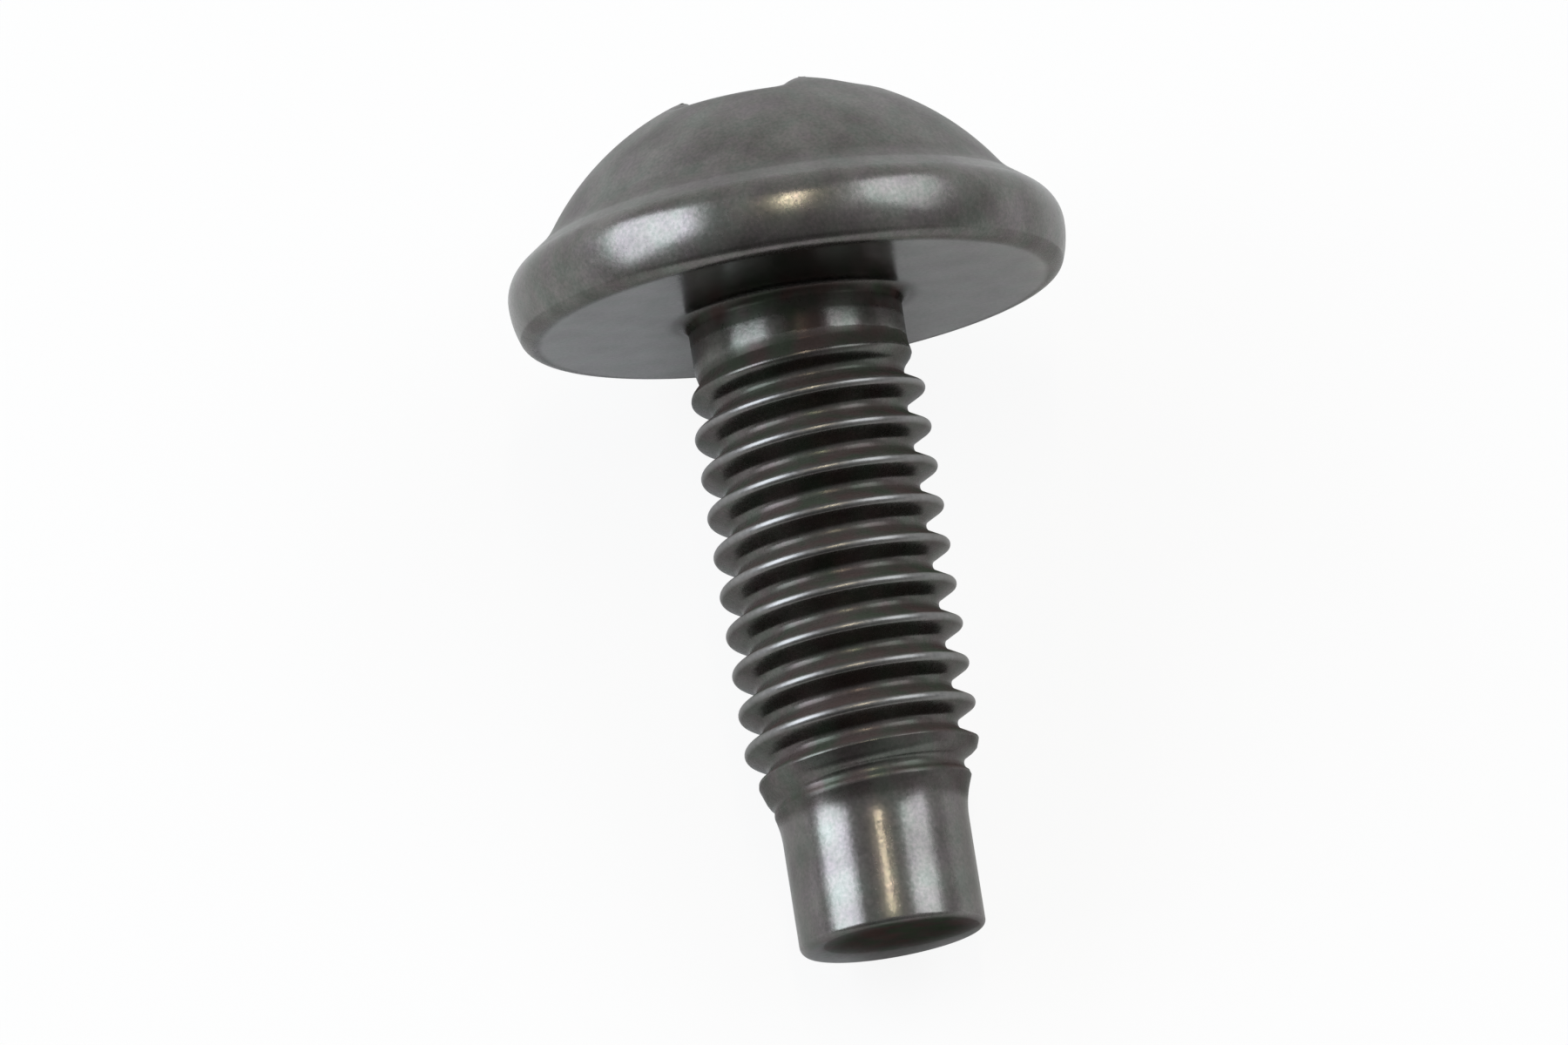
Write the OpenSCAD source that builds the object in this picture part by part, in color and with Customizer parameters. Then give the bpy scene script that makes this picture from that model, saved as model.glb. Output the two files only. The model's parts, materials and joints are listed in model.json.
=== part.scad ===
// Machine screw with a domed flange head, a cross recess and a dog point.
// One forged and thread-rolled piece of steel, drawn lying on a flat surface as it comes to rest.
// Sizes are in millimetres. The screw is drawn upright first: the bearing face under the head is
// at z = 0, the head is above it and the shank below, and then the whole piece is laid down.

/* [Thread] */
// Outside diameter of the M6 thread
thread_d = 5.8; // [5.7:0.05:5.95]
// Diameter at the bottom of the thread grooves
root_d = 4.77; // [4.7:0.01:4.8]
// Distance between two turns
pitch = 1; // [0.9:0.05:1.1]
// Height of the rounding on top of a crest
crest_drop = 0.03; // [0.01:0.01:0.05]
// Angle between the two flanks of a groove
flank_angle = 60; // [56:1:60]
// Turn of the thread about the axis, in degrees
thread_turn = -124; // [-180:1:180]

/* [Shank] */
// Length under the head
shank_len = 16; // [15:0.5:20]
// Diameter of the plain neck under the head
neck_d = 5.3; // [5.2:0.05:5.4]
// Length of the plain neck
neck_len = 1.1; // [0.9:0.1:1.5]
// Radius of the fillet between neck and head
neck_fillet = 0.3; // [0.2:0.05:0.4]
// Length over which the thread rises out of the neck
rise_len = 1.2; // [1:0.1:2]

/* [Dog point] */
// Diameter of the plain point
dog_d = 4.6; // [4.4:0.05:4.65]
// Length of the plain point
dog_len = 3.2; // [2:0.05:4]
// Half angle of the cone that runs the thread out to the point
runout_angle = 20; // [15:0.5:25]
// Radius of the rounded edge at the end
dog_edge = 0.15; // [0.1:0.05:0.3]

/* [Head] */
// Widest diameter of the head
head_d = 13.84; // [13.6:0.02:14.2]
// Height of the widest circle over the bearing face
rim_h = 1.12; // [1:0.02:1.2]
// Radius of the rim above the widest circle
rim_top_r = 1; // [0.8:0.05:1.1]
// Radius of the rounded edge around the bearing face
rim_edge_r = 0.416; // [0.3:0.002:0.45]
// Radius of the dome
dome_r = 6.8; // [6.6:0.05:7]
// Height of the full dome over the bearing face
dome_h = 5.7; // [5.5:0.05:5.9]

/* [Recess] */
// Length of a pair of wings where the recess opens
wing_span = 6; // [5.6:0.1:6.6]
// Width of a wing where the recess opens
wing_w = 2.6; // [2.4:0.1:2.8]
// Depth of the wings below the edge where they open
wing_depth = 2.2; // [1.8:0.1:2.6]
// Slope of the wing ends from the axis
wing_end_angle = 26.5; // [20:0.5:28]
// Draft of the wing sides from the axis
wing_side_angle = 3.5; // [2:0.5:5]
// Half angle of the shallow cone at the bottom
floor_angle = 69; // [60:1:75]
// Turn of the recess about the axis, in degrees
recess_turn = -21; // [-45:1:45]

/* [Hidden] */
$fn = 96;

// Overlap that makes two pieces join for certain.
join = 0.1;
// The faceted thread stands out this far from the round faces it meets, and reaches this far over them.
seat_step = 0.02;
// Reaches past the outside of the screw in a cut.
far = 20;

metal = [0.25, 0.25, 0.25];

head_r = head_d / 2;
neck_r = neck_d / 2;
dog_r = dog_d / 2;

// The lower half of the rim is a wide arc that meets the edge arc along this direction.
rim_split = [0.936, -0.352];
rim_low_r = rim_edge_r + (rim_h - rim_edge_r) / -rim_split[1];
rim_low_c = [head_r - rim_low_r, rim_h];
rim_edge_c = rim_low_c + (rim_low_r - rim_edge_r) * rim_split;
// The upper half of the rim is one arc that runs into a cone with this outward direction.
rim_top_dir = [0.6, 0.8];
rim_top_c = [head_r - rim_top_r, rim_h];
cone_foot = rim_top_c + rim_top_r * rim_top_dir;
// The cone is drawn on until it is inside the dome.
cone_run = 2;
cone_top = cone_foot + cone_run * [-rim_top_dir[1], rim_top_dir[0]];
dome_c = dome_h - dome_r;

// The recess is a cross inside a cone. These are the heights and radii of the cone's corners.
recess_mouth = dome_c + sqrt(pow(dome_r, 2) - pow(wing_span / 2, 2));
recess_floor = recess_mouth - wing_depth;
recess_floor_r = wing_span / 2 - wing_depth * tan(wing_end_angle);
recess_tip = recess_floor - recess_floor_r / tan(floor_angle);
recess_top = dome_h + 1;
recess_top_r = wing_span / 2 + (recess_top - recess_mouth) * tan(wing_end_angle);
// Half widths of a wing at the same heights.
wing_top_half = wing_w / 2 + (recess_top - recess_mouth) * tan(wing_side_angle);
wing_tip_half = wing_w / 2 - (recess_mouth - recess_tip) * tan(wing_side_angle);

// The thread is worked out in this many steps a turn. Its ends sit halfway between two steps.
turn_steps = 40;
step_z = pitch / turn_steps;
thread_top = -(round(neck_len / step_z) + 0.5) * step_z;
thread_end = -(round((shank_len - dog_len) / step_z) + 0.5) * step_z;
// Where a crest's rounding and a flank end, in steps from the middle of the crest.
crest_half = 3;
flank_half = 13;
crest_side_r = thread_d / 2 - crest_drop;
flank_foot_r = crest_side_r - (flank_half - crest_half) * step_z / tan(flank_angle / 2);
// One turn's section: steps along the axis from a crest, and the radius at each of them.
section_steps = [0, crest_half, flank_half, turn_steps / 2, turn_steps - flank_half, turn_steps - crest_half];
section_radii = [thread_d / 2, crest_side_r, flank_foot_r, root_d / 2, flank_foot_r, crest_side_r];
section_n = len(section_steps);

// Rows of points, one for each point of each turn's section. The outermost lie past the thread's ends.
first_row = (floor(thread_end / pitch) - 2) * section_n;
last_row = (ceil(thread_top / pitch) + 1) * section_n;
row_n = last_row - first_row + 1;

// Radius of the thread at a height, from its own section, the neck and the run-out cone.
function rise(z) = min(1, max(0, (thread_top - z) / rise_len));
function risen_r(z, r) = neck_r + seat_step + rise(z) * (r - neck_r - seat_step);
function runout_r(z) = dog_r + seat_step + (z - thread_end) * tan(runout_angle);
function thread_r(z, r) = min(risen_r(z, r), runout_r(z));

// Place of a row in its turn's section.
function place(row) = row - floor(row / section_n) * section_n;

// Height of a row at a step of the turn, held between the ends of the thread.
function row_z(row, step) =
    let (z = floor(row / section_n) * pitch + (section_steps[place(row)] + step) * step_z)
    min(thread_top, max(thread_end, z));

// The points held at an end of the thread lie round the neck or the dog point.
function end_reach(z) = z >= thread_top ? seat_step : z <= thread_end ? -seat_step : 0;

function thread_point(row, step) =
    let (z = row_z(row, step))
    let (r = thread_r(z, section_radii[place(row)]))
    let (angle = 360 * step / turn_steps)
    [r * cos(angle), r * sin(angle), z + end_reach(z)];

// Number of a point. All points held at one end of the thread count as one, and the last step of a
// turn goes on at the first step one turn higher.
function held_row(row, step) =
    let (z = row_z(row, step))
    z >= thread_top ? last_row : z <= thread_end ? first_row : row;
function number(row, step) =
    let (past = step == turn_steps)
    let (own_row = past ? min(last_row, row + section_n) : row)
    let (own_step = past ? 0 : step)
    own_step * row_n + held_row(own_row, own_step) - first_row;

// Two triangles between two rows and two steps, without those that have shrunk to a line.
function triangle(a, b, c) = a == b || b == c || a == c ? [] : [[a, b, c]];
function patch(row, step) =
    let (a = number(row, step))
    let (b = number(row, step + 1))
    let (c = number(row + 1, step + 1))
    let (d = number(row + 1, step))
    concat(triangle(a, d, c), triangle(a, c, b));

thread_points = [
    for (step = [0:turn_steps - 1])
        for (row = [first_row:last_row])
            thread_point(row, step)
];
thread_sides = [
    for (step = [0:turn_steps - 1])
        for (row = [first_row:last_row - 1])
            each patch(row, step)
];
thread_ends = [
    [for (step = [0:turn_steps - 1]) number(first_row, step)],
    [for (step = [turn_steps - 1:-1:0]) number(last_row, step)]
];

// How the screw lies: the rim and the edge of the point both touch the surface.
rest_a = rim_low_c[0] - dog_r + dog_edge;
rest_b = rim_h + shank_len - dog_edge;
rest_c = rim_low_r - dog_edge;
rest_tilt = atan2(rest_a, rest_b) + asin(rest_c / norm([rest_a, rest_b]));
rest_height = rim_low_c[0] * cos(rest_tilt) - rim_h * sin(rest_tilt) + rim_low_r;
// How far the point and the dome reach along the surface from the middle of the bearing face.
rest_front = (shank_len - dog_edge) * cos(rest_tilt) + (dog_r - dog_edge) * sin(rest_tilt) + dog_edge;
rest_back = -dome_c * cos(rest_tilt) - dome_r;

// A slice of a disc between two directions from its centre.
module slice(centre, r, from, to) {
    intersection() {
        translate(centre) circle(r);
        polygon([centre, centre + 2 * r * from, centre + 2 * r * to]);
    }
}

// Half section of the head: the flat bearing face, the round rim, the cone above it and the dome.
module head_section() {
    polygon([
        [0, 0],
        [rim_edge_c[0], 0],
        rim_edge_c + rim_edge_r * rim_split,
        [head_r, rim_h],
        cone_foot,
        cone_top,
        [0, cone_top[1]]
    ]);
    slice(rim_edge_c, rim_edge_r, rim_split, [0, -1]);
    slice(rim_low_c, rim_low_r, [1, 0], rim_split);
    slice(rim_top_c, rim_top_r, [1, 0], rim_top_dir);
    intersection() {
        translate([0, dome_c]) circle(dome_r);
        translate([0, rim_h + join]) square(far);
    }
}

// Half section of the plain neck, with the fillet that joins it to the bearing face.
module neck_section() {
    translate([0, thread_top]) square([neck_r, join - thread_top]);
    difference() {
        translate([neck_r - join, -neck_fillet]) square(neck_fillet + join);
        translate([neck_r + neck_fillet, -neck_fillet]) circle(neck_fillet);
    }
}

// Half section of the plain dog point.
module dog_section() {
    edge_c = [dog_r - dog_edge, dog_edge - shank_len];
    polygon([
        [0, -shank_len],
        [edge_c[0], -shank_len],
        [dog_r, edge_c[1]],
        [dog_r, thread_end],
        [0, thread_end]
    ]);
    slice(edge_c, dog_edge, [1, 0], [0, -1]);
}

// One pair of wings of the recess, with sides that close in towards the bottom.
module wing_pair() {
    rotate([90, 0, 90])
        linear_extrude(height = far, center = true)
            polygon([
                [-wing_tip_half, recess_tip],
                [wing_tip_half, recess_tip],
                [wing_top_half, recess_top],
                [-wing_top_half, recess_top]
            ]);
}

// The space that the driver goes into.
module recess() {
    rotate(recess_turn)
        intersection() {
            union() {
                wing_pair();
                rotate(90) wing_pair();
            }
            rotate_extrude()
                polygon([
                    [0, recess_tip],
                    [recess_floor_r, recess_floor],
                    [recess_top_r, recess_top],
                    [0, recess_top]
                ]);
        }
}

// The head and the plain neck under it.
module head() {
    difference() {
        rotate_extrude() {
            head_section();
            neck_section();
        }
        recess();
    }
}

// The thread with its core: a right-hand helix that rises out of the neck and runs out at the point.
module thread() {
    rotate(thread_turn)
        polyhedron(thread_points, concat(thread_sides, thread_ends), convexity = 12);
}

// The plain end that finds the hole before the thread does.
module dog_point() {
    rotate_extrude() dog_section();
}

// Lays an upright screw down on its rim and its point, with the point towards +x.
module lying() {
    translate([-(rest_front + rest_back) / 2, 0, rest_height])
        rotate([0, rest_tilt - 90, 0])
            children();
}

module screw() {
    color(metal)
        lying() {
            head();
            thread();
            dog_point();
        }
}

screw();
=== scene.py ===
import json
import math
from collections import namedtuple

import bpy
import numpy as np
from mathutils import Matrix, Vector


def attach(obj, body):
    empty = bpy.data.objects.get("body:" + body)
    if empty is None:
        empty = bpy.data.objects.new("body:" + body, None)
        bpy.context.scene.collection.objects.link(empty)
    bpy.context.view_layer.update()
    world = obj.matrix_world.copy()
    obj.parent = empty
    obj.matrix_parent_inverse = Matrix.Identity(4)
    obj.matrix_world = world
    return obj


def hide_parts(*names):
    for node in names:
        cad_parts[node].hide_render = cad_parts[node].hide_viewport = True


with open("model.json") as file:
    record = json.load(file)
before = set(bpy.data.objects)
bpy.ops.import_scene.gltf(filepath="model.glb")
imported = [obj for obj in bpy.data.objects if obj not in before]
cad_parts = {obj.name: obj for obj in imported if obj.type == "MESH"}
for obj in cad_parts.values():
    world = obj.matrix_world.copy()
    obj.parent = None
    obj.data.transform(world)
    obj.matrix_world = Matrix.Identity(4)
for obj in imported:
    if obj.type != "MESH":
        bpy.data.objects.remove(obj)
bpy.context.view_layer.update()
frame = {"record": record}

# The screw is worked out in millimetres in its own upright frame, as in part.scad: the bearing face
# is at z = 0, the head is above it and the shank below. It is then laid where the frame says.
MM = 0.001

# Points round the axis. Eight equal parts of them go round the four wings of the recess.
COLUMNS = 192
HALF_WING = COLUMNS // 8

# Head
HEAD_R = 6.92
RIM_H = 1.12
RIM_TOP_R = 1.0
RIM_LOW_R = 2.416
RIM_EDGE_R = 0.416
RIM_SPLIT_ANGLE = math.degrees(math.atan2(0.352, 0.936))
CONE_NORMAL = np.array([0.6, 0.8])
DOME_R = 6.8
DOME_H = 5.7
# Radius of the hollow curve where the dome runs into the rim.
DOME_FOOT_R = 2.0

# Recess
WING_SPAN = 6.0
WING_W = 2.6
WING_DEPTH = 2.2
WING_END_ANGLE = 26.5
WING_SIDE_ANGLE = 3.5
FLOOR_ANGLE = 69.0
RECESS_TURN = -21.0
# Rounding of the inner corners, of the corners at the wing ends and of the lip.
INNER_CORNER_R = 0.18
WING_CORNER_R = 0.25
LIP = 0.34
# Radius on the dome where the rings have become round.
ROUND_FROM_R = 4.5

# Shank
NECK_R = 2.65
NECK_LEN = 1.1125
NECK_FILLET = 0.3
SHANK_LEN = 16.0

# Thread
CREST_R = 2.9
ROOT_R = 2.385
PITCH = 1.0
CREST_ROUND = 0.14
FLANK_ANGLE = 60.0
THREAD_TURN = -124.0
RISE_LEN = 1.2
# Points closer than this to an end of the thread are held at that end.
TINY = 1e-6

# Dog point
DOG_R = 2.3
RUNOUT_FOOT = -12.8125
RUNOUT_ANGLE = 20.0
RUNOUT_BEND_R = 2.5
# Length of the bend, as a multiple of the distance from its foot to its start.
RUNOUT_BEND_REACH = 1.9
# Plain length under the bend that is made with the thread.
RUNOUT_MARGIN = 0.1
RUNOUT_BLEND = 0.05
DOG_EDGE = 0.15
# The cropped end is a little out of square and more rounded on one side.
DOG_EDGE_MORE = 0.08
END_SLOPE = 0.02
END_DISH = 0.06

DOME_C = DOME_H - DOME_R

# How the metal looks on each surface, each from 0 to 1: worn bright, polished smooth, dark with grime or
# with painted shade, and dull, without shine, under a flat colour that is painted light on the grooves'
# head side and painted shade on the fillet, the neck and the end face.
Finish = namedtuple("Finish", "wear polish grime dull", defaults=[0])
# The recess is darker inside, as painted shade.
RECESS_FINISH = Finish(0, 0.1, 0.6)
LIP_FINISH = Finish(0.25, 0.2, 0.1)
DOME_FINISH = Finish(0, 0, 0)
# The hollow at the foot of the dome is a little darker, as painted shade in the crease.
FOOT_FINISH = Finish(0, 0.1, 0.08)
CONE_FINISH = Finish(0.1, 0.4, 0)
RIM_FINISH = Finish(0, 0.65, 0)
# The lower part of the rim and its edge are a little darker, as painted shade.
RIM_LOW_FINISH = Finish(0, 0.65, 0.05)
RIM_EDGE_FINISH = Finish(0, 0.6, 0.28)
FLAT_FINISH = Finish(0, 0.85, 0.04)
# Radius on the bearing face that the painted shade round the neck reaches.
NECK_SHADE_R = 3.3
# The fillet is smooth and lightly shaded at its outer end, and darkest where it meets the neck: painted
# shade under the head.
FILLET_FINISH = Finish(0, 0.7, 0.35)
FILLET_SHADE = Finish(0, 0.5, 1, 0.5)
# Share of the fillet's height, from the bearing face, over which its painted shade deepens.
FILLET_FADE = 1 / 3
# The top of the neck, under the head, is dark and dull, as painted shade.
NECK_TOP_SHADE = Finish(0, 0.5, 0.9, 0.4)
NECK_FINISH = Finish(0, 0.75, 0.38)
# A darker streak on the side of the neck that is up, partly dirt and partly painted shade that hides a
# highlight there, and half its width as a share of the radius.
NECK_DIRT_AND_SHADE = Finish(0, 0.5, 0.9, 0.5)
NECK_STREAK_HALF = 0.26
DOG_FINISH = Finish(0.05, 0.7, 0)
DOG_EDGE_FINISH = Finish(0.25, 0.6, 0)
# A groove is darker all over, most on the side that faces the point, as painted shade, and its side that
# faces the head is dull, painted light that makes it read lighter. The places run from 0 at a crest over
# the groove above it to 1 at the next crest. The crests are a little rougher.
GROOVE_POLISH = 0.55
CREST_POLISH = 0.45
GROOVE_LIGHT_FILM_PLACES = [0.3, 0.5, 0.62]
GROOVE_LIGHT_FILM = [0.85, 0.45, 0]
GROOVE_SHADE_PLACES = [0.5, 0.62]
GROOVE_SHADE = [0.32, 0.42]
# The run-out under the last turn is darker too, as painted shade.
RUNOUT_SHADE = 0.5
RUNOUT_DEPTH = 0.1
# Depth under the crests that wear reaches, and the length over which the grooves' painted shade and dull
# film end at the dog point.
CREST_WEAR_DEPTH = 0.06
CLEAN_RUN = 0.2
# The end face is darker round a place off its middle, as painted shade, and clears towards its edge over a
# range of distances.
END_SHADE_AT = (0.7, 0.2)
END_CLEAR_FROM = 0.9
END_CLEAR_TO = 3.0
END_CLEAR = Finish(0.35, 0.4, 0)
END_SHADE = Finish(0, 0.4, 1, 1)


def tan_deg(angle):
    return math.tan(math.radians(angle))


def arc(centre, radius, start, end, steps):
    """Points (r, z) of an arc between two directions, in degrees from outwards towards the head."""
    angles = np.radians(np.linspace(start, end, steps + 1))
    return np.column_stack([
        centre[0] + radius * np.cos(angles),
        centre[1] + radius * np.sin(angles),
    ])


def line(start, end, steps):
    """Points (r, z) of a straight stretch."""
    share = np.linspace(0, 1, steps + 1)[:, None]
    return np.asarray(start) * (1 - share) + np.asarray(end) * share


class Skin:
    """The points and faces of one closed surface, collected ring by ring from the recess to the point."""

    def __init__(self):
        self.points = []
        self.finishes = Finish([], [], [], [])
        self.faces = []

    def add(self, points, finish):
        """Adds points with the finish of their metal, and returns their numbers."""
        start = len(self.points)
        self.points.extend(np.asarray(points, dtype=float))
        for values, value in zip(self.finishes, finish):
            values.extend(np.broadcast_to(value, len(points)))
        return np.arange(start, start + len(points))

    def face(self, *corners):
        """Adds a face, leaving out corners that have run together."""
        kept = [c for i, c in enumerate(corners) if c != corners[i - 1]]
        if len(set(kept)) > 2:
            self.faces.append(kept)

    def join(self, first, second):
        """Adds the band of faces between two rings."""
        for i in range(COLUMNS):
            n = (i + 1) % COLUMNS
            self.face(first[i], second[i], second[n], first[n])

    def rings(self, last, loops, finish):
        """Adds rings one after another, each joined to the one before, and returns the last one."""
        for loop in loops:
            ring = self.add(loop, finish)
            if last is not None:
                self.join(last, ring)
            last = ring
        return last

    def close(self, ring, point, finish, at_start):
        """Closes a ring with triangles round one point."""
        middle = self.add([point], finish)[0]
        for i in range(COLUMNS):
            n = (i + 1) % COLUMNS
            if at_start:
                self.face(middle, ring[i], ring[n])
            else:
                self.face(ring[i], middle, ring[n])


# Directions of the columns. The first one is at an inner corner of the recess.
AZIMUTH = np.radians(RECESS_TURN - 45 + 360 * np.arange(COLUMNS) / COLUMNS)
COS = np.cos(AZIMUTH)
SIN = np.sin(AZIMUTH)


def revolved(profile):
    """A ring of points for each (r, z) of a profile."""
    return [np.column_stack([r * COS, r * SIN, np.full(COLUMNS, z)]) for r, z in profile]


# Recess

MOUTH_Z = DOME_C + math.sqrt(DOME_R**2 - (WING_SPAN / 2) ** 2)
FLOOR_R = WING_SPAN / 2 - WING_DEPTH * tan_deg(WING_END_ANGLE)
FLOOR_TIP_Z = MOUTH_Z - WING_DEPTH - FLOOR_R / tan_deg(FLOOR_ANGLE)


def half_wing(i, z):
    """Point (x, y) of half a wing along x, numbered from the middle of its end to the inner corner."""
    half = WING_W / 2 - (MOUTH_Z - z) * tan_deg(WING_SIDE_ANGLE)
    reach = WING_SPAN / 2 - (MOUTH_Z - z) * tan_deg(WING_END_ANGLE)
    corner_y = half - WING_CORNER_R
    corner_x = math.sqrt((reach - WING_CORNER_R) ** 2 - corner_y**2)
    end_turn = math.atan2(corner_y, corner_x)
    share = i / HALF_WING
    # Shares of the points at which the end, the corner and the straight side stop.
    end, corner, side = 0.3, 0.5, 0.8
    if share <= end:
        turn = end_turn * share / end
        return reach * math.cos(turn), reach * math.sin(turn)
    if share <= corner:
        turn = end_turn + (math.pi / 2 - end_turn) * (share - end) / (corner - end)
        return corner_x + WING_CORNER_R * math.cos(turn), corner_y + WING_CORNER_R * math.sin(turn)
    inner = half + INNER_CORNER_R
    if share <= side:
        along = (share - corner) / (side - corner)
        return corner_x + (inner - corner_x) * along, half
    turn = -math.pi / 2 - math.pi / 4 * (share - side) / (1 - side)
    return inner + INNER_CORNER_R * math.cos(turn), inner + INNER_CORNER_R * math.sin(turn)


def on_dome(x, y):
    return DOME_C + np.sqrt(DOME_R**2 - x**2 - y**2)


def on_floor(x, y):
    return FLOOR_TIP_Z + np.hypot(x, y) / tan_deg(FLOOR_ANGLE)


def settle(i, z, surface):
    """Height where a line of the recess wall meets the dome or the floor."""
    for _ in range(12):
        z = float(surface(*half_wing(i, z)))
    return z


def wing_loop(half_points):
    """A whole loop round the recess from the points of half a wing."""
    x, y, z = np.array(half_points).T
    wing = np.column_stack([
        np.concatenate([x[:0:-1], x[:-1]]),
        np.concatenate([-y[:0:-1], y[:-1]]),
        np.concatenate([z[:0:-1], z[:-1]]),
    ])
    loop = []
    for quarter in range(4):
        turn = math.radians(RECESS_TURN + 90 * quarter)
        c, s = math.cos(turn), math.sin(turn)
        px, py, pz = wing.T
        loop.append(np.column_stack([c * px - s * py, s * px + c * py, pz]))
    return np.concatenate(loop)


def wall_loop(share):
    """Loop on the recess wall, from 0 at the floor to 1 at the dome."""
    points = []
    for i in range(HALF_WING + 1):
        low = settle(i, FLOOR_TIP_Z, on_floor)
        high = settle(i, MOUTH_Z, on_dome)
        z = low + (high - low) * share
        points.append((*half_wing(i, z), z))
    return wing_loop(points)


def outwards(loop):
    """Level direction away from the recess at each point of a loop."""
    ahead = np.roll(loop, -1, axis=0) - np.roll(loop, 1, axis=0)
    side = np.column_stack([ahead[:, 1], -ahead[:, 0], np.zeros(COLUMNS)])
    return side / np.linalg.norm(side, axis=1)[:, None]


def lip_loops(steps):
    """Loops of the rounded lip, from the wall over the edge onto the dome."""
    mouth = wall_loop(1.0)
    below = mouth - np.array([0, 0, LIP])
    beyond = mouth + LIP * outwards(mouth)
    beyond[:, 2] = on_dome(beyond[:, 0], beyond[:, 1])
    for t in np.linspace(0, 1, steps + 1):
        yield (1 - t) ** 2 * below + 2 * t * (1 - t) * mouth + t**2 * beyond


def widening_loops(loop, steps):
    """Loops on the dome between the lip and the first round ring."""
    target = np.column_stack([ROUND_FROM_R * COS, ROUND_FROM_R * SIN])
    for share in np.linspace(0, 1, steps + 1)[1:]:
        x, y = ((1 - share) * loop[:, :2] + share * target).T
        yield np.column_stack([x, y, on_dome(x, y)])


def add_recess(skin):
    """The recess with its lip, and the dome out to the first round ring."""
    floor = wall_loop(0.0)
    shares = np.array([0.15, 0.4, 0.7, 0.9])
    middle = np.array([0, 0, FLOOR_TIP_Z])
    first = [middle + (floor - middle) * share for share in shares]
    ring = skin.rings(None, first, RECESS_FINISH)
    skin.close(ring - COLUMNS * (len(first) - 1), middle, RECESS_FINISH, at_start=True)
    walls = [wall_loop(share) for share in np.linspace(0, 0.8, 11)]
    ring = skin.rings(ring, walls, RECESS_FINISH)
    lips = list(lip_loops(8))
    ring = skin.rings(ring, lips, LIP_FINISH)
    return skin.rings(ring, widening_loops(lips[-1], 12), DOME_FINISH)


# Head

def dome_foot():
    """Centre of the hollow curve between the dome and the cone above the rim."""
    along = np.array([-CONE_NORMAL[1], CONE_NORMAL[0]])
    foot = np.array([HEAD_R - RIM_TOP_R, RIM_H]) + RIM_TOP_R * CONE_NORMAL
    start = foot + DOME_FOOT_R * CONE_NORMAL - np.array([0, DOME_C])
    b = start @ along
    c = start @ start - (DOME_R + DOME_FOOT_R) ** 2
    return start + (-b - math.sqrt(b * b - c)) * along + np.array([0, DOME_C])


def between(first, second, share):
    """A finish that is some share of the way from one to another."""
    return Finish(*(a + (b - a) * share for a, b in zip(first, second)))


def flat_finish(r):
    """Finish of the bearing face at a radius. It darkens towards the neck, as painted shade."""
    near = np.clip((NECK_SHADE_R - r) / (NECK_SHADE_R - NECK_R - NECK_FILLET), 0, 1)
    return between(FLAT_FINISH, FILLET_FINISH, near**2)


def fillet_finish(z):
    """Finish of the fillet at a height. It darkens from the bearing face to the neck, as painted shade."""
    return between(FILLET_FINISH, FILLET_SHADE, np.clip(-z / (FILLET_FADE * NECK_FILLET), 0, 1))


def neck_finish():
    """Finish of the neck round its axis."""
    near = np.where(COS > 0, np.clip(2 - 2 * np.abs(SIN) / NECK_STREAK_HALF, 0, 1), 0)
    return between(NECK_FINISH, NECK_DIRT_AND_SHADE, near)


def add_head(skin, ring):
    """The dome outside the recess, the rim, the bearing face and the neck."""
    foot = dome_foot()
    to_dome = math.degrees(math.atan2(foot[1] - DOME_C, foot[0]))
    cone_angle = math.degrees(math.atan2(CONE_NORMAL[1], CONE_NORMAL[0]))
    first = math.degrees(math.acos(ROUND_FROM_R / DOME_R))
    dome = arc((0, DOME_C), DOME_R, first, to_dome, 12)
    hollow = arc(foot, DOME_FOOT_R, 180 + to_dome, 180 + cone_angle, 8)
    top_c = (HEAD_R - RIM_TOP_R, RIM_H)
    low_c = (HEAD_R - RIM_LOW_R, RIM_H)
    split = np.radians(-RIM_SPLIT_ANGLE)
    edge_c = np.array(low_c) + (RIM_LOW_R - RIM_EDGE_R) * np.array([math.cos(split), math.sin(split)])
    cone = line(hollow[-1], np.array(top_c) + RIM_TOP_R * CONE_NORMAL, 4)
    rim_top = arc(top_c, RIM_TOP_R, cone_angle, 0, 14)
    rim_low = arc(low_c, RIM_LOW_R, 0, -RIM_SPLIT_ANGLE, 8)
    rim_edge = arc(edge_c, RIM_EDGE_R, -RIM_SPLIT_ANGLE, -90, 10)
    flat = line(rim_edge[-1], (NECK_R + NECK_FILLET, 0), 24)
    fillet = arc((NECK_R + NECK_FILLET, -NECK_FILLET), NECK_FILLET, 90, 180, 8)
    neck = line(fillet[-1], (NECK_R, -NECK_LEN), 8)
    ring = skin.rings(ring, revolved(dome[1:]), DOME_FINISH)
    ring = skin.rings(ring, revolved(hollow[1:]), FOOT_FINISH)
    ring = skin.rings(ring, revolved(cone[1:]), CONE_FINISH)
    ring = skin.rings(ring, revolved(rim_top[1:]), RIM_FINISH)
    ring = skin.rings(ring, revolved(rim_low[1:]), RIM_LOW_FINISH)
    ring = skin.rings(ring, revolved(rim_edge[1:]), RIM_EDGE_FINISH)
    for place in flat[1:]:
        ring = skin.rings(ring, revolved([place]), flat_finish(place[0]))
    for place in fillet[1:]:
        ring = skin.rings(ring, revolved([place]), fillet_finish(place[1]))
    ring = skin.rings(ring, revolved(neck[1:4]), NECK_TOP_SHADE)
    return skin.rings(ring, revolved(neck[4:]), neck_finish())


# Thread

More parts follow.
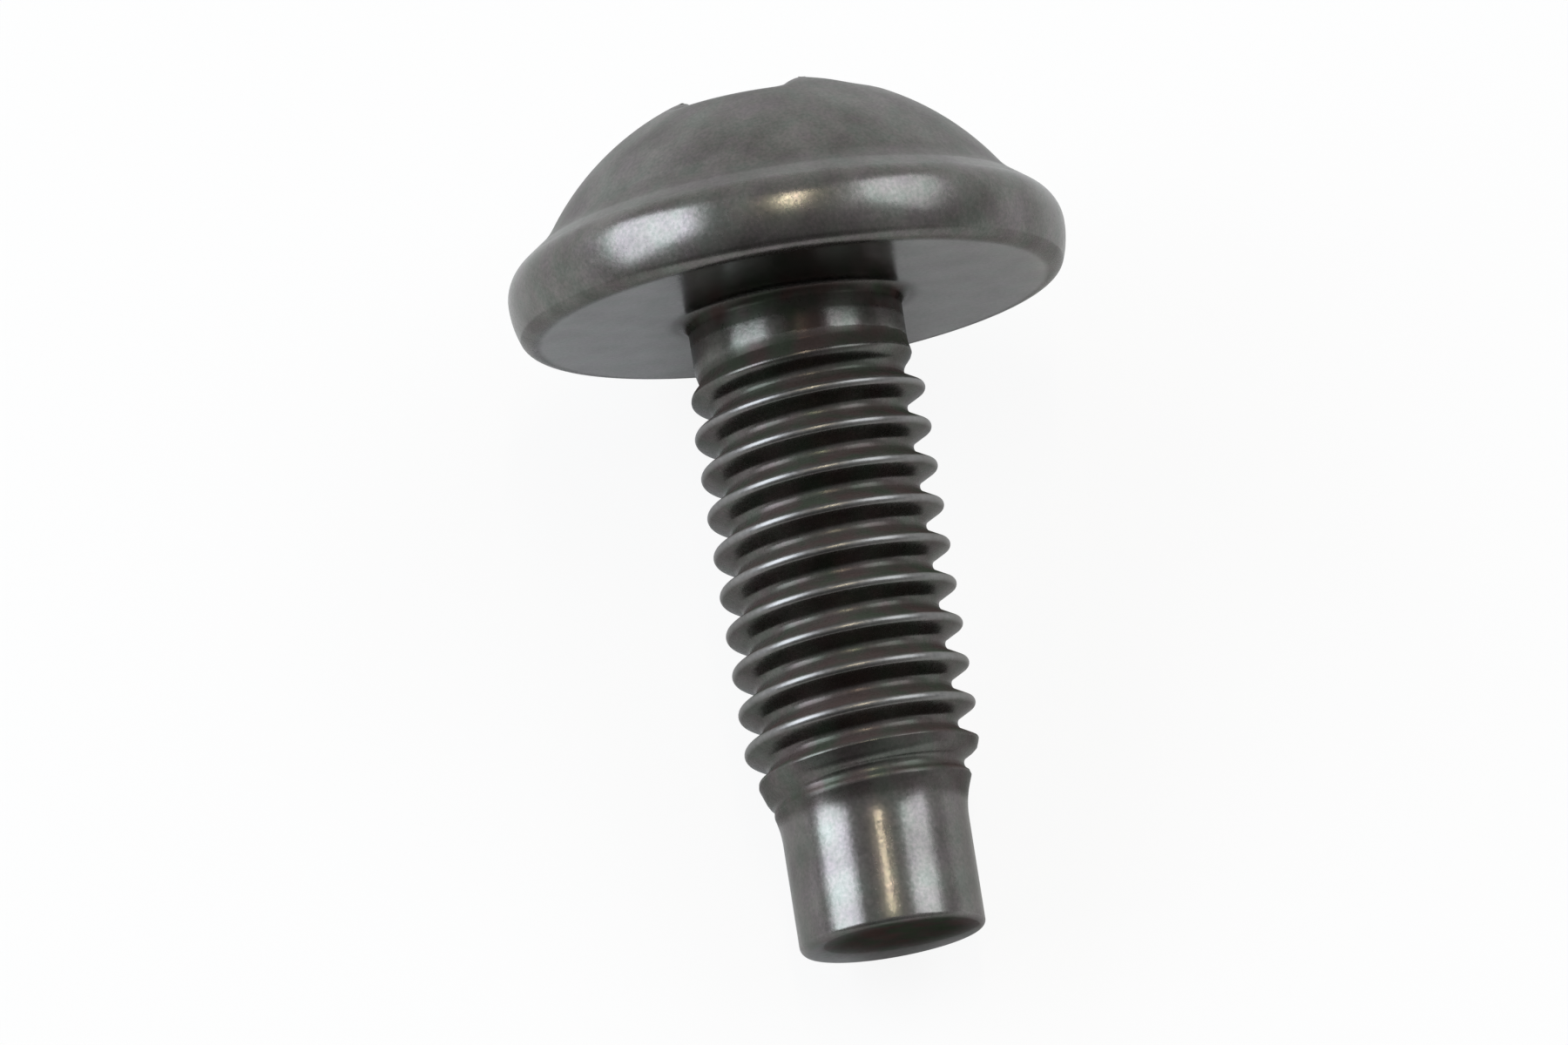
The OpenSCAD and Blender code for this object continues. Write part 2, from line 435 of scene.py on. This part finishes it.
def section():
    """Steps along the axis between two crests and the radius at each, with round crests and roots."""
    root_round = PITCH * tan_deg(FLANK_ANGLE) / 2 - (CREST_R - ROOT_R) - CREST_ROUND
    turns = np.radians(np.linspace(0, FLANK_ANGLE, 5))
    crest_x = CREST_ROUND * np.sin(turns)
    crest_r = CREST_R - CREST_ROUND + CREST_ROUND * np.cos(turns)
    root_x = PITCH / 2 - root_round * np.sin(turns[::-1])
    root_r = ROOT_R + root_round - root_round * np.cos(turns[::-1])
    middle_x = (crest_x[-1] + root_x[0]) / 2
    middle_r = (crest_r[-1] + root_r[0]) / 2
    half_x = np.concatenate([crest_x, [middle_x], root_x])
    half_r = np.concatenate([crest_r, [middle_r], root_r])
    x = np.concatenate([half_x, PITCH - half_x[-2:0:-1]])
    r = np.concatenate([half_r, half_r[-2:0:-1]])
    return x, r


def runout_r(z):
    """Radius of the run-out: the dog point, a hollow bend and a cone."""
    slope = tan_deg(RUNOUT_ANGLE)
    reach = RUNOUT_BEND_R * tan_deg(RUNOUT_ANGLE / 2)
    start = RUNOUT_FOOT - reach
    length = RUNOUT_BEND_REACH * reach
    bend = DOG_R + RUNOUT_BEND_R - np.sqrt(RUNOUT_BEND_R**2 - np.clip(z - start, 0, length) ** 2)
    cone = DOG_R + (z - RUNOUT_FOOT) * slope
    return np.where(z < start, DOG_R, np.where(z < start + length, bend, cone))


def softer_min(a, b, blend):
    """The smaller of two values, with a rounded change from one to the other."""
    h = np.clip(0.5 + 0.5 * (b - a) / blend, 0, 1)
    return b + (a - b) * h - blend * h * (1 - h)


def risen_r(z, r):
    """Radius of the thread at a height, as it rises out of the neck."""
    t = np.clip((-NECK_LEN - z) / RISE_LEN, 0, 1)
    return NECK_R + (r - NECK_R) * t * t * (3 - 2 * t)


def thread_finish(x, z, r, cut):
    """Wear on the crests, and in the grooves painted shade and a dull film standing in for light, which end
    before the dog point.

    The depth that the run-out has cut off the thread is given too.
    """
    crest = np.clip((r - CREST_R) / CREST_WEAR_DEPTH + 1, 0, 1)
    clean = np.clip((RUNOUT_FOOT - z) / CLEAN_RUN + 0.5, 0, 1)
    runout = np.clip(cut / RUNOUT_DEPTH, 0, 1)
    grime = np.interp(x / PITCH, GROOVE_SHADE_PLACES, GROOVE_SHADE)
    grime = grime + (RUNOUT_SHADE - grime) * runout
    dull = np.interp(x / PITCH, GROOVE_LIGHT_FILM_PLACES, GROOVE_LIGHT_FILM) * (1 - runout)
    polish = GROOVE_POLISH + (CREST_POLISH - GROOVE_POLISH) * crest
    return Finish(
        np.maximum(crest, DOG_FINISH.wear * clean),
        polish + (DOG_FINISH.polish - polish) * clean,
        grime * (1 - crest) * (1 - clean),
        dull * (1 - crest) * (1 - clean),
    )


def add_thread(skin, top):
    """Rows of points that climb round the shank. Rows past an end of the thread are held at that end."""
    end_z = RUNOUT_FOOT - RUNOUT_BEND_R * tan_deg(RUNOUT_ANGLE / 2) - RUNOUT_MARGIN
    x, r = section()
    per_turn = len(x)
    lowest = math.floor(end_z / PITCH) - 2
    phases = np.concatenate([x + PITCH * turn for turn in range(lowest, 2)])[::-1]
    radii = np.tile(r, 2 - lowest)[::-1]
    lead = PITCH * (np.degrees(AZIMUTH) - THREAD_TURN) / 360
    z = phases[:, None] + lead[None, :]
    risen = risen_r(z, radii[:, None])
    rounded = softer_min(risen, runout_r(z), RUNOUT_BLEND)
    places = np.tile(x, 2 - lowest)[::-1]
    finish = thread_finish(places[:, None], z, rounded, risen - rounded)
    bottom = skin.add(revolved([(DOG_R, end_z)])[0], DOG_FINISH)
    number = np.empty(z.shape, dtype=int)
    for j in range(COLUMNS):
        inside = (z[:, j] < -NECK_LEN - TINY) & (z[:, j] > end_z + TINY)
        rr, zz = rounded[inside, j], z[inside, j]
        own = np.column_stack([rr * COS[j], rr * SIN[j], zz])
        number[inside, j] = skin.add(own, Finish(*(values[inside, j] for values in finish)))
        number[z[:, j] >= -NECK_LEN - TINY, j] = top[j]
        number[z[:, j] <= end_z + TINY, j] = bottom[j]
    for j in range(COLUMNS):
        here = number[:, j]
        if j + 1 < COLUMNS:
            following = number[:, j + 1]
        else:
            following = np.concatenate([np.full(per_turn, top[0]), number[:-per_turn, 0]])
        for k in range(len(phases) - 1):
            skin.face(here[k], here[k + 1], following[k + 1], following[k])
    return bottom, end_z


# Dog point

def end_finish(loop):
    """Finish of the end face at the points of a loop."""
    away = np.hypot(loop[:, 0] - END_SHADE_AT[0], loop[:, 1] - END_SHADE_AT[1])
    clear = np.clip((away - END_CLEAR_FROM) / (END_CLEAR_TO - END_CLEAR_FROM), 0, 1)
    clear = clear * clear * (3 - 2 * clear)
    return between(END_SHADE, END_CLEAR, clear)


def add_point(skin, ring, start_z):
    """The plain end, its rounded edge and its end face."""
    edge = DOG_EDGE + DOG_EDGE_MORE * np.clip(-SIN, 0, 1) ** 2
    loops = []
    for share in np.linspace(0, 1, 13)[1:]:
        z = start_z + share * (edge - SHANK_LEN + END_SLOPE * DOG_R * SIN * share - start_z)
        loops.append(np.column_stack([DOG_R * COS, DOG_R * SIN, z]))
    ring = skin.rings(ring, loops, DOG_FINISH)
    loops = []
    for turn in np.radians(np.linspace(0, 90, 9)[1:]):
        r = DOG_R - edge * (1 - math.cos(turn))
        z = edge * (1 - math.sin(turn)) - SHANK_LEN + END_SLOPE * r * SIN
        loops.append(np.column_stack([r * COS, r * SIN, z]))
    for share, loop in zip(np.linspace(0, 1, len(loops)), loops):
        ring = skin.rings(ring, [loop], between(DOG_EDGE_FINISH, end_finish(loop), share))
    loops = []
    inner = DOG_R - edge
    for share in np.linspace(1, 0, 25)[1:-1]:
        r = inner * share
        z = END_SLOPE * r * SIN - SHANK_LEN + END_DISH * (1 - share**2) ** 2
        loops.append(np.column_stack([r * COS, r * SIN, z]))
    for loop in loops:
        ring = skin.rings(ring, [loop], end_finish(loop))
    skin.close(ring, (0, 0, END_DISH - SHANK_LEN), END_SHADE, at_start=False)


# Piece

def mount(name):
    """Place and direction of one of the frame's mounts."""
    found = next(m for m in frame["record"]["mounts"] if m["name"] == name)
    return Vector(found["pos_m"]), Vector(found["axis"])


def screw_matrix():
    """From the screw's own frame to the row frame."""
    place, axis = mount("bearing_face")
    up = -axis.normalized()
    side = Vector((0, 1, 0))
    front = side.cross(up)
    turn = Matrix((front, side, up)).transposed()
    return Matrix.Translation(place) @ turn.to_4x4()


def make_screw():
    """The whole screw as one closed mesh that stands for the CAD solid."""
    skin = Skin()
    ring = add_recess(skin)
    ring = add_head(skin, ring)
    ring, start_z = add_thread(skin, ring)
    add_point(skin, ring, start_z)
    local = np.array(skin.points)
    matrix = np.array(screw_matrix())
    placed = (local * MM) @ matrix[:3, :3].T + matrix[:3, 3]
    mesh = bpy.data.meshes.new("screw_body")
    mesh.from_pydata(placed.tolist(), [], [[int(c) for c in f] for f in skin.faces])
    mesh.validate()
    mesh.polygons.foreach_set("use_smooth", np.ones(len(mesh.polygons), dtype=bool))
    for name, values in zip(Finish._fields, skin.finishes):
        mesh.attributes.new(name, "FLOAT", "POINT").data.foreach_set("value", np.array(values))
    mesh.attributes.new("own", "FLOAT_VECTOR", "POINT").data.foreach_set("vector", local.ravel())
    piece = bpy.data.objects.new("screw_body", mesh)
    bpy.context.scene.collection.objects.link(piece)
    piece.data.materials.append(dark_steel())
    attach(piece, "root")
    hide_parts("screw")
    return piece


# Materials

class Nodes:
    """A short way to add shader nodes and links."""

    def __init__(self, tree):
        self.tree = tree
        tree.nodes.clear()

    def add(self, kind, **values):
        node = self.tree.nodes.new(kind)
        for name, value in values.items():
            setattr(node, name, value)
        return node

    def link(self, source, target):
        self.tree.links.new(source, target)

    def ramp(self, source, stops):
        """A colour ramp with stops (place, colour)."""
        node = self.add("ShaderNodeValToRGB")
        elements = node.color_ramp.elements
        while len(elements) < len(stops):
            elements.new(0.5)
        for element, (place, colour) in zip(elements, stops):
            element.position = place
            element.color = (*colour, 1)
        self.link(source, node.inputs["Fac"])
        return node.outputs["Color"]

    def noise(self, source, scale, detail):
        node = self.add("ShaderNodeTexNoise")
        node.inputs["Scale"].default_value = scale
        node.inputs["Detail"].default_value = detail
        self.link(source, node.inputs["Vector"])
        return node.outputs["Fac"]

    def attribute(self, name):
        return self.add("ShaderNodeAttribute", attribute_name=name)

    def stretched(self, source, scale):
        """Coordinates scaled along each axis."""
        node = self.add("ShaderNodeMapping")
        node.inputs["Scale"].default_value = scale
        self.link(source, node.inputs["Vector"])
        return node.outputs["Vector"]

    def height(self, source):
        node = self.add("ShaderNodeSeparateXYZ")
        self.link(source, node.inputs["Vector"])
        return node.outputs["Z"]

    def spread(self, source, low, high, to_low, to_high):
        """Maps a range of values onto another."""
        node = self.add("ShaderNodeMapRange")
        node.inputs["From Min"].default_value = low
        node.inputs["From Max"].default_value = high
        node.inputs["To Min"].default_value = to_low
        node.inputs["To Max"].default_value = to_high
        self.link(source, node.inputs["Value"])
        return node.outputs["Result"]

    def mix(self, factor, first, second):
        """Mixes two colours by a factor."""
        node = self.add("ShaderNodeMix", data_type="RGBA")
        self.link(factor, node.inputs["Factor"])
        self.link(first, node.inputs["A"])
        self.link(second, node.inputs["B"])
        return node.outputs["Result"]

    def multiply(self, first, second):
        """Multiplies two colours."""
        node = self.add("ShaderNodeMix", data_type="RGBA", blend_type="MULTIPLY")
        node.inputs["Factor"].default_value = 1
        self.link(first, node.inputs["A"])
        self.link(second, node.inputs["B"])
        return node.outputs["Result"]

    def combine(self, operation, first, second):
        """The sum or product of two values."""
        node = self.add("ShaderNodeMath", operation=operation)
        self.link(first, node.inputs[0])
        self.link(second, node.inputs[1])
        return node.outputs[0]


def steel_colour(n, own, finish, patches, grain):
    """Mottled dark metal with a slight tint, brighter where it is worn and darker where grime or painted
    shade sits.
    """
    tint_noise = n.noise(own, 1.3, 3)
    speck_noise = n.noise(own, 11, 3)
    tone = n.ramp(patches, [(0.3, (0.131, 0.128, 0.122)), (0.7, (0.199, 0.195, 0.188))])
    tint = n.ramp(tint_noise, [(0.35, (0.93, 1, 0.95)), (0.5, (1, 0.99, 0.97)), (0.65, (1, 0.94, 0.98))])
    specks = n.ramp(speck_noise, [(0.3, (0.84, 0.88, 0.86)), (0.7, (1.16, 1.12, 1.14))])
    # Colour where the metal is dull: painted light on the grooves' head side, painted shade on the fillet,
    # the neck top and the end face.
    dull_colour = n.ramp(tint_noise, [
        (0.38, (0.042, 0.052, 0.036)),
        (0.5, (0.056, 0.05, 0.042)),
        (0.62, (0.066, 0.046, 0.042)),
    ])
    bare = n.ramp(grain, [(0.3, (0.2, 0.2, 0.2)), (0.7, (0.27, 0.265, 0.26))])
    # Colour of grime and of painted shade.
    dirt_and_shade_colour = n.ramp(tint_noise, [
        (0.38, (0.024, 0.03, 0.02)),
        (0.5, (0.03, 0.027, 0.023)),
        (0.62, (0.038, 0.025, 0.022)),
    ])
    worn = n.combine("MULTIPLY", finish["wear"], n.spread(patches, 0.35, 0.65, 0.6, 1))
    dirt_and_shade = n.combine("MULTIPLY", finish["grime"], n.spread(patches, 0.35, 0.65, 1, 0.75))
    metal = n.mix(worn, n.multiply(n.multiply(tone, tint), specks), bare)
    return n.mix(dirt_and_shade, n.mix(finish["dull"], metal, dull_colour), dirt_and_shade_colour)


def dark_steel():
    """Dark satin steel: smoother where polished, with a fine grain and draw marks along the dog point."""
    material = bpy.data.materials.new("dark_steel")
    material.use_nodes = True
    n = Nodes(material.node_tree)
    own = n.attribute("own").outputs["Vector"]
    finish = {name: n.attribute(name).outputs["Fac"] for name in Finish._fields}
    patches = n.noise(own, 0.9, 4)
    grain = n.noise(own, 9, 3)
    streaks = n.noise(n.stretched(own, (1, 1, 0.04)), 6, 2)
    on_point = n.spread(n.height(own), RUNOUT_FOOT - 0.2, RUNOUT_FOOT, 1, 0)
    marks = n.combine("MULTIPLY", on_point, n.spread(streaks, 0.3, 0.7, -0.03, 0.03))
    matt = n.spread(finish["polish"], 0, 1, 0.46, 0.14)
    grainy = n.combine("ADD", matt, n.spread(grain, 0.3, 0.7, -0.03, 0.03))
    bump = n.add("ShaderNodeBump")
    bump.inputs["Strength"].default_value = 0.2
    bump.inputs["Distance"].default_value = 0.01 * MM
    n.link(grain, bump.inputs["Height"])
    shader = n.add("ShaderNodeBsdfPrincipled")
    n.link(n.spread(finish["dull"], 0, 1, 1, 0), shader.inputs["Metallic"])
    n.link(n.spread(finish["dull"], 0, 0.5, 0.5, 0), shader.inputs["Specular IOR Level"])
    edges = n.ramp(finish["grime"], [(0, (0.92, 0.92, 0.92)), (1, (0.3, 0.3, 0.3))])
    n.link(edges, shader.inputs["Specular Tint"])
    n.link(steel_colour(n, own, finish, patches, grain), shader.inputs["Base Color"])
    n.link(n.combine("ADD", grainy, marks), shader.inputs["Roughness"])
    n.link(bump.outputs["Normal"], shader.inputs["Normal"])
    output = n.add("ShaderNodeOutputMaterial")
    n.link(shader.outputs["BSDF"], output.inputs["Surface"])
    return material


# Share of plain white in the floor as the camera sees it, and as the metal does. The rest shows the shadow.
FLOOR_WHITE = 0.9
FLOOR_WHITE_MIRRORED = 0.15


def floor_paint():
    """White paper that looks evenly white and keeps a faint shadow."""
    material = bpy.data.materials.new("floor_white")
    material.use_nodes = True
    n = Nodes(material.node_tree)
    paper = n.add("ShaderNodeBsdfDiffuse")
    paper.inputs["Color"].default_value = (0.76, 0.76, 0.76, 1)
    white = n.add("ShaderNodeEmission")
    path = n.add("ShaderNodeLightPath")
    mirrored = n.combine("ADD", path.outputs["Is Glossy Ray"], path.outputs["Is Transmission Ray"])
    seen_share = n.spread(path.outputs["Is Camera Ray"], 0, 1, 0, FLOOR_WHITE)
    mirrored_share = n.spread(mirrored, 0, 1, 0, FLOOR_WHITE_MIRRORED)
    mixed = n.add("ShaderNodeMixShader")
    n.link(n.combine("ADD", seen_share, mirrored_share), mixed.inputs["Fac"])
    n.link(paper.outputs["BSDF"], mixed.inputs[1])
    n.link(white.outputs["Emission"], mixed.inputs[2])
    output = n.add("ShaderNodeOutputMaterial")
    n.link(mixed.outputs["Shader"], output.inputs["Surface"])
    return material


# Stage

FLOOR_HALF = 4.0


def make_floor():
    """A large flat floor under the screw."""
    mesh = bpy.data.meshes.new("floor")
    corners = [(-1, -1), (1, -1), (1, 1), (-1, 1)]
    mesh.from_pydata([(FLOOR_HALF * x, FLOOR_HALF * y, 0) for x, y in corners], [], [(0, 1, 2, 3)])
    floor = bpy.data.objects.new("floor", mesh)
    bpy.context.scene.collection.objects.link(floor)
    mesh.materials.append(floor_paint())


# Camera: it looks down on the lying screw from the side of its point.
CAMERA_AZIMUTH = -9.1
CAMERA_ELEVATION = 61.96
CAMERA_DISTANCE = 0.467
FRAME_WIDTH_MM = 38.455
SENSOR_MM = 36.0
# The middle of the picture, from the bearing face: along the axis and to the right.
AIM_ALONG = 5.251
AIM_RIGHT = -1.05
LEAN = math.radians(9.15)


def camera_axes():
    """Right, up and backward directions of the camera."""
    az, el = math.radians(CAMERA_AZIMUTH), math.radians(CAMERA_ELEVATION)
    back = Vector((math.cos(el) * math.cos(az), math.cos(el) * math.sin(az), math.sin(el)))
    right = Vector((-math.sin(az), math.cos(az), 0))
    return right, back.cross(right), back


def aim_point():
    """The point that the middle of the picture shows."""
    place, axis = mount("bearing_face")
    right, up, _ = camera_axes()
    across = math.cos(LEAN) * right + math.sin(LEAN) * up
    return place + MM * (AIM_ALONG * axis + AIM_RIGHT * across)


def make_camera():
    """The camera, aimed at the screw."""
    right, up, back = camera_axes()
    data = bpy.data.cameras.new("camera")
    data.sensor_width = SENSOR_MM
    data.lens = SENSOR_MM / FRAME_WIDTH_MM * CAMERA_DISTANCE / MM
    data.clip_start = 0.01
    camera = bpy.data.objects.new("camera", data)
    turn = Matrix((right, up, back)).transposed().to_4x4()
    camera.matrix_world = Matrix.Translation(aim_point() + CAMERA_DISTANCE * back) @ turn
    bpy.context.scene.collection.objects.link(camera)
    bpy.context.scene.camera = camera


# Light

# Distance of the windows from the screw.
WINDOW_AWAY = 1.2


def direction(to_right, upward):
    """A direction given in degrees to the right of the camera's and above it."""
    right, up, back = camera_axes()
    a, b = math.radians(to_right), math.radians(upward)
    return math.cos(b) * (math.cos(a) * back + math.sin(a) * right) + math.sin(b) * up


def make_lamp(name, to_right, upward, distance, width, height, radiance, colour):
    """A rectangular soft lamp that faces the screw. Its sizes are angles as the screw sees it."""
    data = bpy.data.lights.new(name, "AREA")
    data.shape = "RECTANGLE"
    data.size = 2 * distance * tan_deg(width / 2)
    data.size_y = 2 * distance * tan_deg(height / 2)
    data.energy = radiance * math.pi * data.size * data.size_y
    data.color = colour
    lamp = bpy.data.objects.new(name, data)
    away = direction(to_right, upward)
    _, up, _ = camera_axes()
    upright = (up - away * up.dot(away)).normalized()
    turn = Matrix((upright.cross(away), upright, away)).transposed().to_4x4()
    lamp.matrix_world = Matrix.Translation(aim_point() + distance * away) @ turn
    bpy.context.scene.collection.objects.link(lamp)


def make_window(name, side, along, heights, radiance, colour):
    """A long upright soft lamp to one side of the screw, with its extent along x and z in metres."""
    data = bpy.data.lights.new(name, "AREA")
    data.shape = "RECTANGLE"
    data.size = along[1] - along[0]
    data.size_y = heights[1] - heights[0]
    data.energy = radiance * math.pi * data.size * data.size_y
    data.color = colour
    window = bpy.data.objects.new(name, data)
    middle = Vector((sum(along) / 2, side * WINDOW_AWAY, sum(heights) / 2))
    turn = Matrix(((-side, 0, 0), (0, 0, side), (0, 1, 0))).to_4x4()
    window.matrix_world = Matrix.Translation(middle) @ turn
    bpy.context.scene.collection.objects.link(window)


def make_world():
    """A grey room that is darker in front of the screw, behind the camera."""
    world = bpy.data.worlds.new("room")
    bpy.context.scene.world = world
    world.use_nodes = True
    n = Nodes(world.node_tree)
    where = n.add("ShaderNodeTexCoord").outputs["Generated"]
    toward = n.add("ShaderNodeVectorMath", operation="DOT_PRODUCT")
    toward.inputs[1].default_value = direction(0, -40)
    n.link(where, toward.inputs[0])
    grey = n.ramp(n.spread(toward.outputs["Value"], -1, 1, 0, 1), [
        (0.0, (0.8, 0.8, 0.8)),
        (0.1, (0.78, 0.78, 0.78)),
        (0.22, (0.62, 0.62, 0.62)),
        (0.5, (0.5, 0.5, 0.5)),
        (0.72, (0.45, 0.45, 0.45)),
        (0.82, (0.41, 0.41, 0.41)),
        (0.905, (0.32, 0.32, 0.32)),
        (0.957, (0.17, 0.17, 0.17)),
        (1.0, (0.14, 0.14, 0.14)),
    ])
    sky = n.add("ShaderNodeBackground")
    n.link(grey, sky.inputs["Color"])
    output = n.add("ShaderNodeOutputWorld")
    n.link(sky.outputs["Background"], output.inputs["Surface"])


make_screw()
make_floor()
make_camera()
make_window("window_left", -1, (-1.35, 0.4), (0.32, 1.55), 4.4, (0.84, 0.91, 1.0))
make_window("window_right", 1, (-1.35, 0.35), (0.65, 2.2), 2.6, (0.9, 0.95, 1.0))
make_lamp("lamp_warm", 1, 34, 1.2, 1.6, 26, 36, (1.0, 0.88, 0.64))
make_world()

scene = bpy.context.scene
scene.view_settings.view_transform = "Standard"
